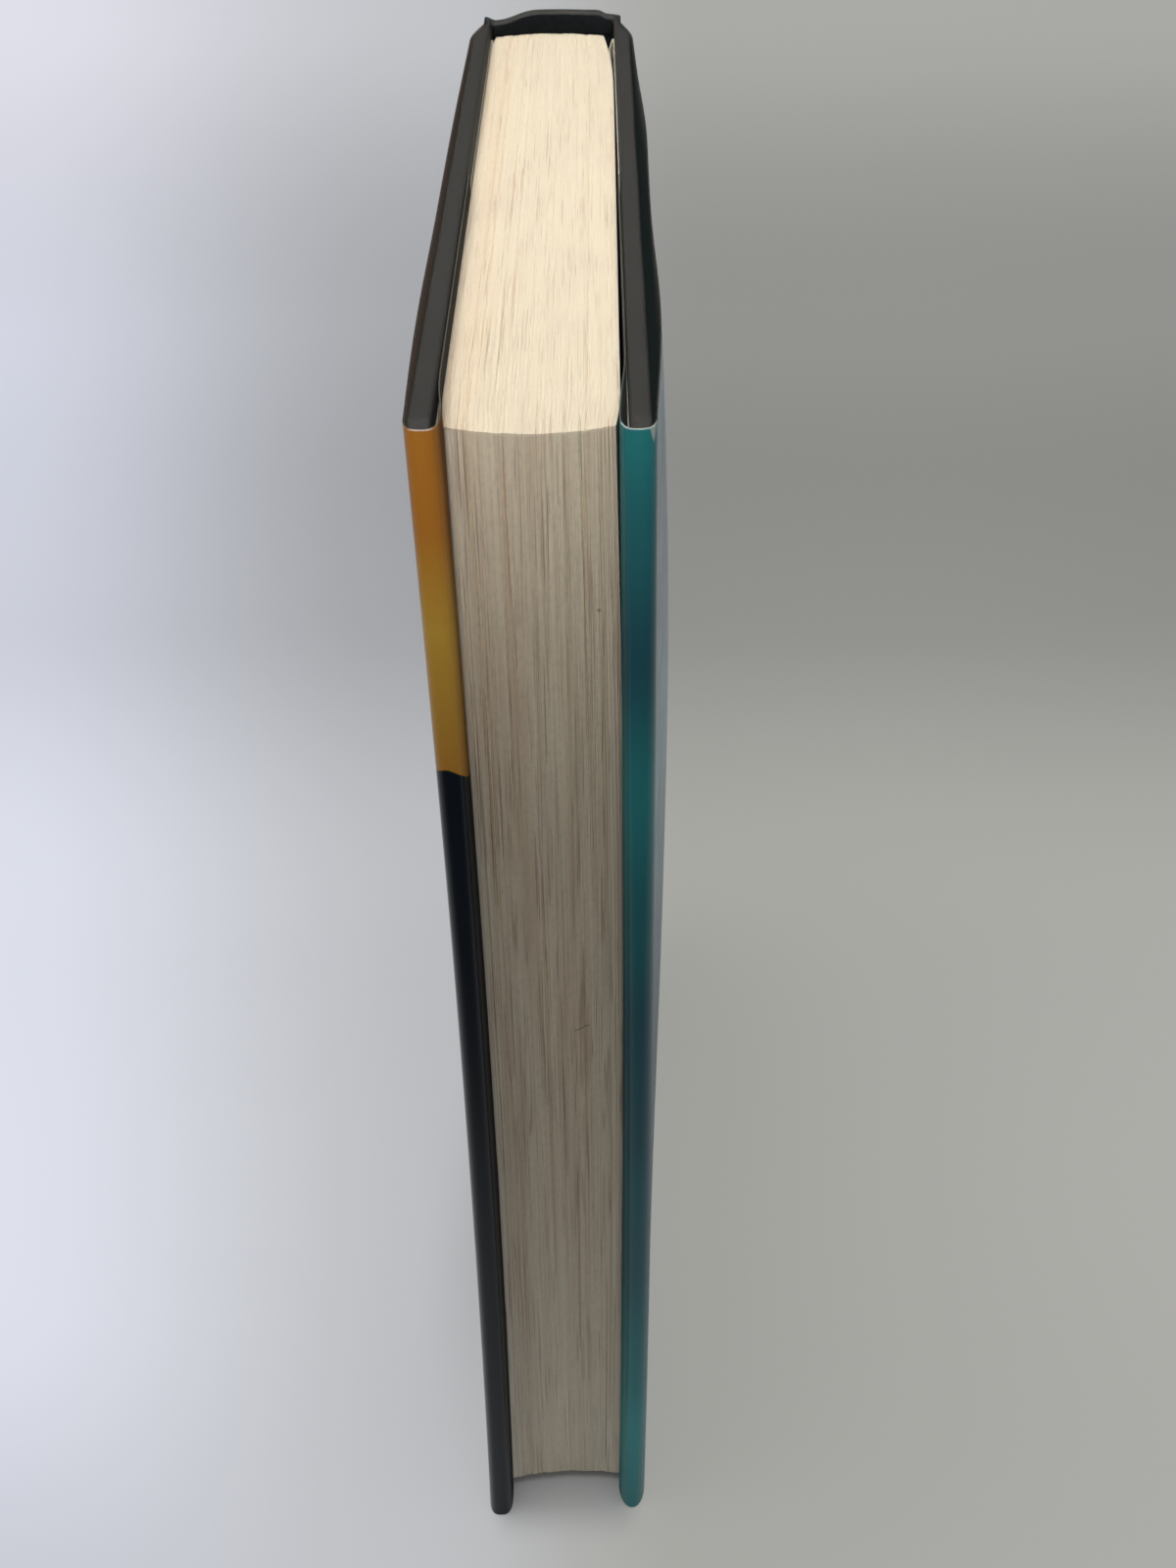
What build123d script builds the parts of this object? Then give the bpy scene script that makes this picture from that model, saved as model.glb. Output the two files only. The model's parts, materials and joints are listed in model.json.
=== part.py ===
from build123d import *
from math import asin, degrees
import os

# A hardcover book in its dust jacket, standing on its tail. Lengths are in millimetres.
# x runs from the front cover to the back cover, y from the fore-edge to the spine, z up.
# Pieces are made with x = 0 at the middle of the pages and y = 0 at the fore-edge of the
# outer leaves. At the end they move so that the origin is under the middle of the book.

# Text block
page_height = 228.6
page_width = 151.5
block_thickness = 21.7
back_round = 2.0
fore_swell = 1.9
fore_hollow = 0.6
corner_draw = 0.65
corner_run = 9.0
tail_draw_share = 0.3
leaf = 0.15
glue = 0.03

# Back of the text block
mull = 0.25
mull_wing = 25.0
lining = 0.2
lining_short = 1.5
band_bead = 1.5
band_short = 0.6
band_gap = 0.4

# Case
square = 3.2
fore_square = 5.6
board_thickness = 2.2
cloth = 0.25
turn_in = 15.0
edge_round = 0.5
joint_width = 8.6
groove_slope = 7.0
groove_round = 2.0
closing_gap = 0.15
strip_thickness = 1.2
strip_short = 0.4
hollow_gap = 0.4
case_side_gap = 0.5
spine_corner = 1.2

# Jacket
jacket_paper = 0.18
jacket_short = 0.3
jacket_off_board = 0.32
jacket_off_spine = 0.4
fold_air = 1.12
fold_round = 1.9
fold_inner_x = 10.1
flap_width = 81.0
flap_lead = 14.0
flap_gap = 0.05
front_bulges = (0.5, 0.9, 0.5)
back_bulges = (0.8, 2.9, 1.0)
bulge_y = 48.0
bulge_z_share = 0.55
panel_ease = 1.2

# Hinges
split_y = page_width - 2.0
split_gap = 0.3
hinge_clearance = 1.1
cover_spread = 0.3

# Worked out from the sizes above
book_height = page_height + 2 * square
page_foot = square
page_head = square + page_height
half_block = block_thickness / 2
inner_z = (turn_in, book_height - turn_in)
band_skirt = turn_in - square - band_gap
back_radius = (half_block**2 + back_round**2) / (2 * back_round)
back_centre = page_width + back_round - back_radius

# Faces of a cover, from the pages outwards, before it is spread
flyleaf_x = half_block + leaf
paste_x = flyleaf_x + closing_gap
turn_x = paste_x + leaf
board_x = turn_x + cloth
skin_x = board_x + board_thickness
case_x = skin_x + cloth
panel_x = case_x + jacket_off_board + jacket_paper
board_end = split_y - joint_width
cover_end = split_y - split_gap / 2
spine_start = split_y + split_gap / 2

# Layers of the spine, as steps behind the back of the pages
mull_arc = glue + mull
lining_arc = mull_arc + glue + lining
headcap_arc = lining_arc + hollow_gap
strip_arc = headcap_arc + cloth
skin_arc = strip_arc + strip_thickness
case_arc = skin_arc + cloth
jacket_arc = case_arc + jacket_off_spine

# Sides of the spine, as distances from the middle
mull_side = flyleaf_x + glue + mull
case_side = flyleaf_x + case_side_gap + 2 * cloth
jacket_side = case_side + jacket_off_board
hinge_x = jacket_side + jacket_paper + hinge_clearance

# Ends of the jacket's fold and flap
fold_y = -fore_square - fold_air - jacket_paper
fold_start = fold_y + 2 * fold_round
flap_x = paste_x - flap_gap - jacket_paper
panel_end = board_end - panel_ease

# Reach of the book, for its origin
front_reach = panel_x + max(front_bulges)
back_reach = panel_x + max(back_bulges)
spine_reach = page_width + back_round + jacket_arc + jacket_paper
shift_x = (front_reach - back_reach) / 2
shift_y = -(spine_reach + fold_y) / 2


def block(x, y, z):
    """A box between two limits on each axis."""
    size = (x[1] - x[0], y[1] - y[0], z[1] - z[0])
    corner = Pos(x[0], y[0], z[0])
    return corner * Box(*size, align=(Align.MIN, Align.MIN, Align.MIN))


def prism(face, z):
    """A plan face raised between two heights."""
    return Pos(0, 0, z[0]) * extrude(face, z[1] - z[0])


def outline(*edges):
    """A plan face inside edges that join end to end."""
    return make_face(Curve() + list(edges))


# Text block and its endpapers


def leaf_side(offset, draw):
    """The side of the pages in plan: straight, then drawn in towards the fore-edge."""
    x = half_block + offset
    straight = Line((x, page_width - leaf), (x, corner_run))
    drawn = ThreePointArc((x, corner_run), (x - draw / 4, corner_run / 2), (x - draw, 0))
    return straight, drawn


def pages_plan(swell, draw):
    """The pages in plan, with the fore-edge standing out by swell at its middle."""
    x = half_block
    nose = x - draw
    return outline(
        ThreePointArc((-x, page_width), (0, page_width + back_round), (x, page_width)),
        Line((x, page_width), (x, corner_run)),
        ThreePointArc((x, corner_run), (x - draw / 4, corner_run / 2), (nose, 0)),
        ThreePointArc((nose, 0), (0, -swell), (-nose, 0)),
        ThreePointArc((-nose, 0), (draw / 4 - x, corner_run / 2), (-x, corner_run)),
        Line((-x, corner_run), (-x, page_width)),
    )


def text_block():
    """The pages as one solid: the head leans forwards, so the fore-edge swells there."""
    tail = pages_plan(-fore_hollow, corner_draw * tail_draw_share)
    head = pages_plan(fore_swell, corner_draw)
    return loft([Pos(0, 0, page_foot) * tail, Pos(0, 0, page_head) * head], ruled=True)


def flyleaf_plan(draw):
    """The free endpaper in plan, lying on the side of the pages."""
    inner, inner_drawn = leaf_side(0, draw)
    outer, outer_drawn = leaf_side(leaf, draw)
    return outline(
        inner,
        inner_drawn,
        Line(inner_drawn @ 1, outer_drawn @ 1),
        outer_drawn,
        outer,
        Line(outer @ 0, inner @ 0),
    )


def flyleaf():
    """The free endpaper on the back cover's side."""
    tail = flyleaf_plan(corner_draw * tail_draw_share)
    head = flyleaf_plan(corner_draw)
    return loft([Pos(0, 0, page_foot) * tail, Pos(0, 0, page_head) * head], ruled=True)


# Back of the text block


def spine_region(arc, side, corner=0.0):
    """Everything in plan inside a layer of the spine, from the hinge line back."""
    disc = Pos(0, back_centre) * Circle(back_radius + arc)
    reach = back_round + arc + page_width - spine_start
    window = Pos(0, spine_start) * Rectangle(2 * side, 2 * reach, align=(Align.CENTER, Align.MIN))
    region = disc & window
    if corner:
        region = fillet(region.vertices().group_by(Axis.Y)[-1], corner)
    return region


def back_sector(inner, outer, half_width):
    """A curved strip in plan, parallel to the rounded back."""
    ring = Circle(back_radius + outer) - Circle(back_radius + inner)
    reach = back_radius + outer
    window = Rectangle(2 * half_width, reach, align=(Align.CENTER, Align.MIN))
    return Pos(0, back_centre) * (ring & window)


def spine_mull():
    """The gauze on the back, with a short leg down each shoulder to the hinge line."""
    plan = spine_region(mull_arc, mull_side) - spine_region(glue, flyleaf_x + glue)
    return prism(plan, inner_z)


def spine_lining():
    """The paper glued over the gauze and the skirts of the bands."""
    plan = back_sector(mull_arc + glue, lining_arc, half_block - lining_short)
    return prism(plan, (page_foot + lining_short, page_head - lining_short))


def band(head):
    """A headband or tailband: a round bead on the pages' end and a skirt behind it."""
    end = page_head if head else page_foot
    out = 1 if head else -1
    radius = band_bead / 2
    bead = Pos(back_radius + mull_arc - radius, end + out * radius) * Circle(radius)
    skirt_low, skirt_high = sorted((end + out * radius, end - out * band_skirt))
    skirt = Pos(back_radius + glue, skirt_low) * Rectangle(
        mull, skirt_high - skirt_low, align=(Align.MIN, Align.MIN)
    )
    sweep_angle = 2 * degrees(asin((half_block - band_short) / (back_radius + mull)))
    ring = revolve(Plane.XZ * (bead + skirt), Axis.Z, sweep_angle)
    return Pos(0, back_centre) * Rot(0, 0, 90 - sweep_angle / 2) * ring


# Case


def spine_strip():
    """The card that stiffens the spine, as tall as the boards."""
    plan = back_sector(strip_arc + glue, skin_arc - glue, half_block - strip_short)
    return prism(plan, (cloth, book_height - cloth))


def case_spine():
    """The cloth on the spine, turned in over the card at head and tail."""
    whole = spine_region(case_arc, case_side, spine_corner)
    under_skin = spine_region(skin_arc, case_side - cloth, spine_corner - cloth)
    inside = spine_region(headcap_arc, case_side - 2 * cloth)
    skin = prism(whole - under_skin, (0, book_height))
    pocket = back_sector(strip_arc, skin_arc, half_block - strip_short + glue)
    turned = under_skin - inside - pocket
    cap = whole - inside
    low = prism(turned, (0, turn_in)) + prism(cap, (0, cloth))
    high = prism(turned, (book_height - turn_in, book_height))
    high += prism(cap, (book_height - cloth, book_height))
    return skin + low + high


def board():
    """The back board, in its cloth."""
    solid = block(
        (board_x, skin_x),
        (cloth - fore_square, board_end),
        (cloth, book_height - cloth),
    )
    corner = solid.edges().filter_by(Axis.Z).group_by(Axis.Y)[0]
    return fillet(corner, edge_round - cloth)


def groove_plan(cut):
    """The joint between board and spine in plan, from the cut below its outer face inwards."""
    outer_x = case_x - cut
    groove_x = case_side - cut
    slope_end = board_end + groove_slope
    path = FilletPolyline(
        (outer_x, board_end - groove_slope),
        (outer_x, board_end + cloth),
        (groove_x, slope_end),
        (groove_x, cover_end),
        radius=groove_round,
    )
    inner = Polyline(
        (groove_x, cover_end),
        (turn_x, cover_end),
        (turn_x, board_end - groove_slope),
        (outer_x, board_end - groove_slope),
    )
    return make_face(Curve() + [path, inner])


def case_cover():
    """The cloth on the back board, turned in all round, and down the joint to the hinge."""
    wrap = block((turn_x, case_x), (-fore_square, board_end), (0, book_height))
    rounded = wrap.edges().filter_by(Axis.Z).group_by(Axis.Y)[0]
    rounded += wrap.edges().filter_by(Axis.Y)
    wrap = fillet(rounded, edge_round)
    window = block((turn_x, board_x), (turn_in - fore_square, cover_end), inner_z)
    joint = prism(groove_plan(0), (0, book_height))
    hollow = prism(groove_plan(cloth), (cloth, book_height - cloth))
    beyond_board = block(
        (board_x, case_x),
        (board_end, cover_end),
        (cloth, book_height - cloth),
    )
    joint -= hollow & beyond_board
    return wrap + joint - window - board()


def mull_flap():
    """The wing of the gauze, glued to the back board and across the joint."""
    return block((turn_x, board_x), (board_end - mull_wing, cover_end), inner_z)


def pastedown():
    """The pasted endpaper: on the turned-in cloth at its rim, sunk to the board inside."""
    sheet = block((paste_x, turn_x), (square - fore_square, cover_end), (page_foot, page_head))
    sunk_y = (turn_in - fore_square, board_end - mull_wing)
    tray = block((paste_x, board_x), sunk_y, inner_z)
    inside_y = (sunk_y[0] + leaf, sunk_y[1] - leaf)
    inside_z = (inner_z[0] + leaf, inner_z[1] - leaf)
    return sheet + tray - block((paste_x, board_x - leaf), inside_y, inside_z)


# Jacket


def panel_face(bulge):
    """A jacket panel in plan, from the fold across the board and the joint to the hinge."""
    points = [
        (panel_x, fold_start),
        (panel_x + bulge, bulge_y),
        (panel_x, panel_end),
        (jacket_side + jacket_paper, cover_end),
    ]
    ways = [(0, 1), (0, 1), (0, 1), (-0.3, 1)]
    outer = Spline(*points, tangents=ways)
    inner = Spline(*[(x - jacket_paper, y) for x, y in points], tangents=ways)
    return outline(outer, Line(outer @ 1, inner @ 1), inner, Line(inner @ 0, outer @ 0))


def fold_points(inset):
    """Corners of the fold round the board's fore-edge and of the flap, in plan."""
    return [
        (panel_x - inset, fold_start),
        (panel_x - inset, fold_y + inset),
        (fold_inner_x + inset, fold_y + inset),
        (fold_inner_x + inset, fold_start),
        (flap_x + inset, flap_lead),
        (flap_x + inset, fold_y + flap_width),
    ]


def fold_plan():
    """The fold and the flap as one bent sheet, in plan."""
    tight = [fold_round, fold_round, fold_round, fold_round]
    slack = [fold_round - jacket_paper, fold_round - jacket_paper, fold_round, fold_round]
    outer = FilletPolyline(*fold_points(0), radius=tight)
    inner = FilletPolyline(*fold_points(jacket_paper), radius=slack)
    return outline(outer, Line(outer @ 1, inner @ 1), inner, Line(inner @ 0, outer @ 0))


def jacket_cover(bulges):
    """A jacket panel with its fold and flap. The bulges are at tail, middle and head."""
    low = jacket_short
    high = book_height - jacket_short
    heights = (low, low + bulge_z_share * (high - low), high)
    sections = [Pos(0, 0, z) * panel_face(bulge) for z, bulge in zip(heights, bulges)]
    return loft(sections) + prism(fold_plan(), (low, high))


def jacket_spine():
    """The part of the jacket on the spine."""
    outer = spine_region(jacket_arc + jacket_paper, jacket_side + jacket_paper, spine_corner)
    inner = spine_region(jacket_arc, jacket_side, spine_corner - jacket_paper)
    return prism(outer - inner, (jacket_short, book_height - jacket_short))


# Covers, spread a little by the flaps, and the whole book


def spread(solid):
    """A back cover's piece, turned about its hinge by the little that the flap opens it."""
    hinge = Pos(hinge_x, split_y, 0)
    return hinge * Rot(0, 0, cover_spread) * hinge.inverse() * solid


def front(solid):
    """The same piece on the front cover's side."""
    return mirror(solid, about=Plane.YZ)


cover_pieces = {
    "board": spread(board()),
    "case": spread(case_cover()),
    "mull_flap": spread(mull_flap()),
    "pastedown": spread(pastedown()),
}
nodes = {
    "text_block": text_block(),
    "back_flyleaf": flyleaf(),
    "front_flyleaf": front(flyleaf()),
    "spine_mull": spine_mull(),
    "spine_lining": spine_lining(),
    "headband": band(True),
    "tailband": band(False),
    "spine_strip": spine_strip(),
    "case_spine": case_spine(),
    "jacket_spine": jacket_spine(),
    "back_jacket": spread(jacket_cover(back_bulges)),
    "front_jacket": front(spread(jacket_cover(front_bulges))),
}
for name, solid in cover_pieces.items():
    nodes["back_" + name] = solid
    nodes["front_" + name] = front(solid)

os.makedirs("parts", exist_ok=True)
for name, solid in nodes.items():
    export_step(Pos(shift_x, shift_y, 0) * solid, f"parts/{name}.step")

print(f"hinges at x {shift_x:.4f} -+ {hinge_x:.4f}, y {split_y + shift_y:.4f}")
print(f"foot of the front board at x {shift_x - (turn_x + case_x) / 2:.4f}")
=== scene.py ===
import json
import random
from math import asin, atan2, copysign, cos, pi, radians, sin, sqrt, tan

import bmesh
import bpy
from bpy.props import FloatProperty, FloatVectorProperty, IntProperty, PointerProperty
from mathutils import Color, Matrix, Vector, noise


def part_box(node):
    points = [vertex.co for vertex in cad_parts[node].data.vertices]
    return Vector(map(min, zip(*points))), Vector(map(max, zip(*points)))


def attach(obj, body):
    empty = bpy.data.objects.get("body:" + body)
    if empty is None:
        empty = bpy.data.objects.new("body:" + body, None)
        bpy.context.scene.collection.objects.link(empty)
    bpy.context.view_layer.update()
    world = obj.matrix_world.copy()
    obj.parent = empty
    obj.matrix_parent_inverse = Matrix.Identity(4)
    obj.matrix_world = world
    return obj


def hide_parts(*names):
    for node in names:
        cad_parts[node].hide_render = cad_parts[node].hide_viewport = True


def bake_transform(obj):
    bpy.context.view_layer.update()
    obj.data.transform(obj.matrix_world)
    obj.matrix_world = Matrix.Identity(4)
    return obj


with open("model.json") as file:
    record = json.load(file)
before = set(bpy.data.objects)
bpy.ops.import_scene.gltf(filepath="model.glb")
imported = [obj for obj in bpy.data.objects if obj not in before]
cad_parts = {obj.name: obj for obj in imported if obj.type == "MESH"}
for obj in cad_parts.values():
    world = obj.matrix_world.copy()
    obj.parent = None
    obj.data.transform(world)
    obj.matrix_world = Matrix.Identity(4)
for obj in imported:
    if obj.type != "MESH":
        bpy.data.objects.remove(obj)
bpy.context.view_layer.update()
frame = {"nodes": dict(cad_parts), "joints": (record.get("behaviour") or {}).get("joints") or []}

bl_info = {
    "name": "Hardcover book",
    "version": (1, 0, 0),
    "blender": (4, 5, 0),
    "location": "View3D > Sidebar > Book",
    "description": "Pages, cloth case and dust jacket of a hardcover book on its frame",
    "category": "Add Mesh",
}

# A hardcover book in its dust jacket, standing on its tail. Every piece is worked out in
# the book's own axes, in metres: x from the middle of the pages, positive for the back
# cover, y from the fore-edge of the outer leaves towards the spine, and z up.

MM = 0.001
FRONT, BACK = -1, 1
SIDES = {FRONT: "front", BACK: "back"}

# The text block and where its middle and fore-edge are, from the frame
block_low, block_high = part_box("text_block")
leaf_low, leaf_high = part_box("back_flyleaf")
middle_x = (block_low.x + block_high.x) / 2
fore_y = leaf_low.y
half_block = (block_high.x - block_low.x) / 2
page_foot, page_head = block_low.z, block_high.z
book_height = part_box("case_spine")[1].z
leaf = leaf_high.x - middle_x - half_block
page_width = leaf_high.y + leaf - fore_y
back_round = block_high.y - fore_y - page_width
back_radius = (half_block**2 + back_round**2) / (2 * back_round)
back_centre = page_width + back_round - back_radius
fore_swell = fore_y - block_low.y

# The hinges, from the frame, how far a closed cover gapes, and the width of the bending joint
hinge = {joint["child"]: Vector(joint["pos_m"]) for joint in frame["joints"]}
hinge_x = hinge["back_cover"].x - middle_x
split_y = hinge["back_cover"].y - fore_y
cover_spread = radians(0.3)
flex = 4.0 * MM

# The fore-edge is hollow at its tail, and its corners are drawn in, less so at the tail
fore_hollow = 0.6 * MM
corner_draw = 0.65 * MM
corner_run = 9.0 * MM
tail_draw_share = 0.3

# How far the outer leaves are drawn in at the rounded back, the run and the power of that curve
back_draws = {FRONT: (0.9 * MM, 7 * MM, 2), BACK: (1.7 * MM, 40 * MM, 3)}

# Layers of the case and the jacket, as they are in the frame
glue = 0.03 * MM
gauze = 0.25 * MM
gauze_wing = 25.0 * MM
lining = 0.2 * MM
cloth = 0.25 * MM
board_thickness = 2.2 * MM
turn_in = 15.0 * MM
fore_square = 5.6 * MM
square = page_foot
joint_width = 8.6 * MM
closing_gap = 0.15 * MM
hollow_gap = 0.4 * MM
strip_thickness = 1.2 * MM
case_side_gap = 0.5 * MM
spine_corner = 1.2 * MM
jacket_paper = 0.18 * MM
jacket_short = 0.3 * MM
jacket_off_board = 0.32 * MM
jacket_off_spine = 0.4 * MM
flap_width = 81.0 * MM
flap_lead = 14.0 * MM
panel_ease = 1.2 * MM

# The air between a flap and the pasted leaf, less than in the frame
flap_gap = 0.02 * MM

# How far a panel of the jacket stands off its board at tail, middle and head, and where the
# middle is. The loose head edge stands off further: how far, its middle and its reach
bulge_y = 56.0 * MM
bulge_z_share = 0.68
bulges = {FRONT: (0.5 * MM, 0.9 * MM, 0.5 * MM), BACK: (0.8 * MM, 3.4 * MM, 1.05 * MM)}
head_waves = {
    FRONT: [(0.32 * MM, 16 * MM, 45 * MM)],
    BACK: [(0.62 * MM, 22 * MM, 36 * MM), (0.34 * MM, 95 * MM, 28 * MM)],
}

# The jacket's fold round a board's fore-edge, at the tail and at the head: where its nose
# is, where its rounding starts, how far its inner side is from the middle of the pages,
# and its roundness, 1 for half an ellipse and less for a squarer fold
folds = {
    FRONT: ((-7.1 * MM, -2.8 * MM, 10.0 * MM, 0.7), (-6.2 * MM, -2.8 * MM, 10.3 * MM, 0.7)),
    BACK: ((-7.2 * MM, -2.0 * MM, 9.5 * MM, 0.95), (-6.3 * MM, -2.8 * MM, 10.1 * MM, 0.7)),
}

# The standing book leans a little: how far back a cover's fore-edge is set at its tail,
# and how far forward the front corner of the pages is
tail_set = {FRONT: 0.0, BACK: 1.5 * MM}
tail_skew = 1.2 * MM

# Where each layer lies, from the middle of the pages or out from their rounded back
flyleaf_x = half_block + leaf
paste_x = flyleaf_x + closing_gap
turn_x = paste_x + leaf
board_x = turn_x + cloth
case_x = board_x + board_thickness + cloth
panel_x = case_x + jacket_off_board + jacket_paper
board_end = split_y - joint_width
headcap_arc = 2 * glue + gauze + lining + hollow_gap
case_arc = headcap_arc + 2 * cloth + strip_thickness
jacket_arc = case_arc + jacket_off_spine
case_side = flyleaf_x + case_side_gap + 2 * cloth
jacket_side = case_side + jacket_off_board
flap_x = paste_x - flap_gap - jacket_paper
panel_end = board_end - panel_ease

# Support rows this far inside a sheet's border keep its shading flat up to the edge
border = 0.15 * MM


def tint(name, description, default):
    """A colour that a user can change."""
    return FloatVectorProperty(name=name, description=description, default=default, subtype="COLOR")


def length(name, description, default):
    """A length that a user can change."""
    return FloatProperty(
        name=name, description=description, default=default, precision=6, unit="LENGTH"
    )


def power(name, description, default):
    """A lamp's power that a user can change."""
    return FloatProperty(name=name, description=description, default=default, unit="POWER")


class BookPageSettings(bpy.types.PropertyGroup):
    """How even the pages are cut, and the colour of their paper."""

    leaves: IntProperty(
        name="Leaves",
        description="How many steps across the thickness of the pages are modelled",
        default=150,
        min=40,
        max=240,
    )
    leaf_step: length("Leaf step", "How far a leaf stands out from the next", 0.05 * MM)
    section_step: length("Section step", "How far a section stands out from the next", 0.09 * MM)
    paper: tint("Page paper", "Colour of the cut paper", (0.86, 0.745, 0.555))
    paper_shade: tint("Shaded paper", "Colour of leaves that lie deeper", (0.66, 0.50, 0.335))
    endpaper: tint("Endpaper", "Colour of the endpapers", (0.72, 0.66, 0.54))


class BookCaseSettings(bpy.types.PropertyGroup):
    """The cloth of the case, its bands and its boards."""

    case_cloth: tint("Case cloth", "Colour of the cloth all over", (0.051, 0.048, 0.0415))
    band_thread: tint("Band thread", "Colour of both bands", (0.003, 0.0038, 0.0044))
    board_grey: tint("Board", "Colour of the bare board", (0.33, 0.28, 0.21))
    weave: length("Weave", "Distance between two threads of the case cloth", 0.42 * MM)
    corner_round: length("Corner rounding", "Rounding of the cloth over a board's edges", 0.6 * MM)


class BookJacketSettings(bpy.types.PropertyGroup):
    """The fields of colour printed on the jacket."""

    orange: tint("Front, upper field", "Its colour at head and border", (0.555, 0.215, 0.027))
    ochre: tint("Front, upper middle", "The upper field's colour half way", (0.70, 0.40, 0.056))
    navy: tint("Front, lower field", "Colour of the lower field", (0.0025, 0.006, 0.0115))
    teal: tint("Back, light bands", "Colour of the light bands", (0.026, 0.228, 0.232))
    deep_teal: tint("Back, dark bands", "Colour of the dark bands", (0.021, 0.111, 0.138))
    border_height: length("Border height", "Height of the front's border at its fold", 184.4 * MM)
    border_fall: length("Border fall", "How much lower it is inside the fold", 3.6 * MM)


class BookStageSettings(bpy.types.PropertyGroup):
    """The floor, the light and the camera."""

    floor: tint("Floor", "Colour of the floor", (0.78, 0.785, 0.785))
    lamp: power("Overhead light", "Soft light above the book", 4.85)
    front_lamp: power("Front light", "Narrow light on the upper half of the fore-edge", 0.094)
    low_lamp: power("Low front light", "Soft light on the fore-edge from in front", 0.52)
    sky: FloatProperty(name="Room light", description="Strength of the even light", default=0.065)
    lens: FloatProperty(name="Lens", description="Focal length", default=42.64, unit="CAMERA")


# Materials


class Field:
    """A value that varies over a surface. Its operators add the Math nodes."""

    def __init__(self, finish, socket):
        self.finish = finish
        self.socket = socket

    def math(self, operation, *values):
        return self.finish.field("Math", values, operation=operation)

    def __add__(self, other):
        return self.math("ADD", self, other)

    def __sub__(self, other):
        return self.math("SUBTRACT", self, other)

    def __rsub__(self, other):
        return self.math("SUBTRACT", other, self)

    def __mul__(self, other):
        return self.math("MULTIPLY", self, other)

    def __truediv__(self, other):
        return self.math("DIVIDE", self, other)

    def __pow__(self, other):
        return self.math("POWER", self, other)

    __radd__ = __add__
    __rmul__ = __mul__

    def sine(self):
        return self.math("SINE", self)

    def size(self):
        return self.math("ABSOLUTE", self)

    def rise(self, low, high):
        """0 below low, 1 above high, and smooth between them."""
        values = {"Value": self, "From Min": low, "From Max": high}
        return self.finish.field("MapRange", values, interpolation_type="SMOOTHSTEP")

    def near(self, middle, reach):
        """1 at the middle, falling to 0 at the given distance from it."""
        return 1 - (self - middle).size().rise(0.0, reach)


class Nodes:
    """A tree of shader nodes, and a method that adds any node to it."""

    def __init__(self, owner):
        owner.use_nodes = True
        self.tree = owner.node_tree

    def node(self, kind, values=(), **settings):
        """A new node: its inputs by place or by name, and its settings by keyword."""
        node = self.tree.nodes.new("ShaderNode" + kind)
        for key, value in settings.items():
            setattr(node, key, value)
        pairs = values.items() if isinstance(values, dict) else enumerate(values)
        for key, value in pairs:
            self.feed(node.inputs[key], value)
        return node

    def field(self, kind, values, **settings):
        """A new node's first output as a field."""
        return Field(self, self.node(kind, values, **settings).outputs[0])

    def feed(self, socket, value):
        """Gives an input a field, a socket or a plain value."""
        if isinstance(value, Field):
            value = value.socket
        if isinstance(value, bpy.types.NodeSocket):
            self.tree.links.new(value, socket)
        elif socket.type == "RGBA":
            socket.default_value = (*value, 1.0)
        else:
            socket.default_value = value

    def seen_or_lit(self, share, lit, seen, output):
        """Shows the camera one shader, by the share, and lights the scene with the other."""
        either = self.node("MixShader", [share, lit.outputs[0], seen.outputs[0]])
        self.feed(self.tree.nodes[output].inputs["Surface"], either.outputs[0])


class Finish(Nodes):
    """A material in the making."""

    def __init__(self, name):
        self.material = bpy.data.materials.new(name)
        super().__init__(self.material)
        self.surface = self.tree.nodes["Principled BSDF"]

    def coordinates(self, along=1.0, up=1.0, source="Object"):
        """Places on the surface in metres, with a factor for y and for z."""
        place = self.node("TexCoord").outputs[source]
        values = {"Vector": place, "Scale": (1.0, along, up)}
        return self.node("Mapping", values).outputs[0]

    def on_sheet(self, up=1.0):
        """Places on a flat sheet in metres: x along it, and y up it, with a factor."""
        return self.coordinates(up, source="UV")

    def parts(self, vector):
        """The three parts of a place as fields."""
        return [Field(self, socket) for socket in self.node("SeparateXYZ", [vector]).outputs]

    def cloud(self, vector, scale, detail=2.0, roughness=0.5):
        """Soft irregular values from 0 to 1."""
        values = {"Vector": vector, "Scale": scale, "Detail": detail, "Roughness": roughness}
        return self.field("TexNoise", values)

    def ramp(self, field, stops, interpolation="LINEAR"):
        """Colours that follow each other as a field goes from 0 to 1."""
        ramp = self.node("ValToRGB", [field])
        elements = ramp.color_ramp.elements
        while len(elements) < len(stops):
            elements.new(0.5)
        for element, (place, colour) in zip(elements, stops):
            element.position = place
            element.color = (*colour, 1.0)
        ramp.color_ramp.interpolation = interpolation
        return ramp.outputs["Color"]

    def mix(self, share, low, high, blend="MIX"):
        """Colours mixed: low where the share is 0 and high where it is 1."""
        node = self.node("Mix", [share], data_type="RGBA", blend_type=blend)
        colours = [socket for socket in node.inputs if socket.type == "RGBA"]
        self.feed(colours[0], low)
        self.feed(colours[1], high)
        return next(socket for socket in node.outputs if socket.type == "RGBA")

    def layered(self, colour, layers):
        """A colour with others laid over it in their order, each by its share."""
        for share, above in layers:
            colour = self.mix(share, colour, above)
        return colour

    def bump(self, height, distance, strength=1.0):
        """Relief from a field, as high as the distance where the field is 1."""
        values = {"Height": height, "Distance": distance, "Strength": strength}
        self.feed(self.surface.inputs["Normal"], self.node("Bump", values).outputs[0])

    def done(self, colour, roughness, shine=0.5):
        """The finished material. Shine is the strength of its reflections."""
        values = {"Base Color": colour, "Roughness": roughness, "Specular IOR Level": shine}
        for key, value in values.items():
            self.feed(self.surface.inputs[key], value)
        return self.material


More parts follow.
